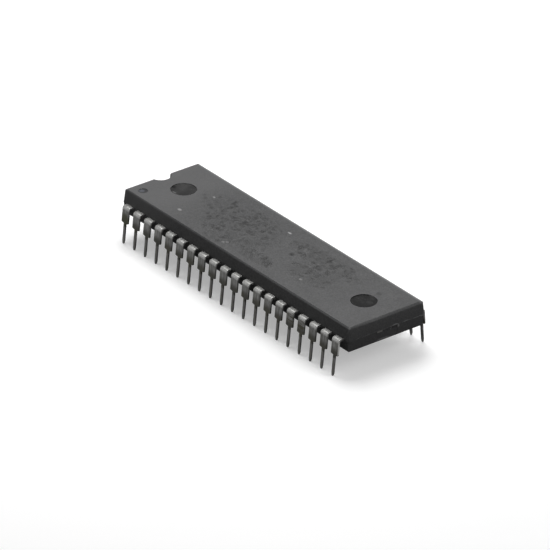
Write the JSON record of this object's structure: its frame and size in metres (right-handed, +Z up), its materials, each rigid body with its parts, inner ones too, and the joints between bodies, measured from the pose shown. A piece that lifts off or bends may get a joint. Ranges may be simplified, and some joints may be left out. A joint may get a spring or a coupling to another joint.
{
  "type": "dual in-line memory chip",
  "caption": "Plastic dual in-line memory chip with a notched black body, two rows of bent leads, and its lead frame, die and bond wires inside.",
  "frame": {"origin": "centre of the lead field, on the plane of the lead tips that the chip stands on", "axes": "+X along the package away from its notch, +Y across it towards leads 21 to 40, +Z up out of the top face"},
  "size_m": [0.0522, 0.0164, 0.0077],
  "materials": {
    "moulding": "black epoxy moulding compound with a fine matte skin",
    "leads": "dull tin plating, scuffed and slightly tarnished",
    "frame": "bare copper alloy strip",
    "glue": "silver-filled epoxy",
    "die": "polished silicon",
    "wire": "gold"
  },
  "bodies": {
    "root": {"package_body": "moulding", "pin_01": "leads", "pin_02": "leads", "pin_03": "leads", "pin_04": "leads", "pin_05": "leads", "pin_06": "leads", "pin_07": "leads", "pin_08": "leads", "pin_09": "leads", "pin_10": "leads", "pin_11": "leads", "pin_12": "leads", "pin_13": "leads", "pin_14": "leads", "pin_15": "leads", "pin_16": "leads", "pin_17": "leads", "pin_18": "leads", "pin_19": "leads", "pin_20": "leads", "pin_21": "leads", "pin_22": "leads", "pin_23": "leads", "pin_24": "leads", "pin_25": "leads", "pin_26": "leads", "pin_27": "leads", "pin_28": "leads", "pin_29": "leads", "pin_30": "leads", "pin_31": "leads", "pin_32": "leads", "pin_33": "leads", "pin_34": "leads", "pin_35": "leads", "pin_36": "leads", "pin_37": "leads", "pin_38": "leads", "pin_39": "leads", "pin_40": "leads", "die_paddle": "frame", "die_attach": "glue", "silicon_die": "die", "bond_wires": "wire"}
  },
  "joints": []
}
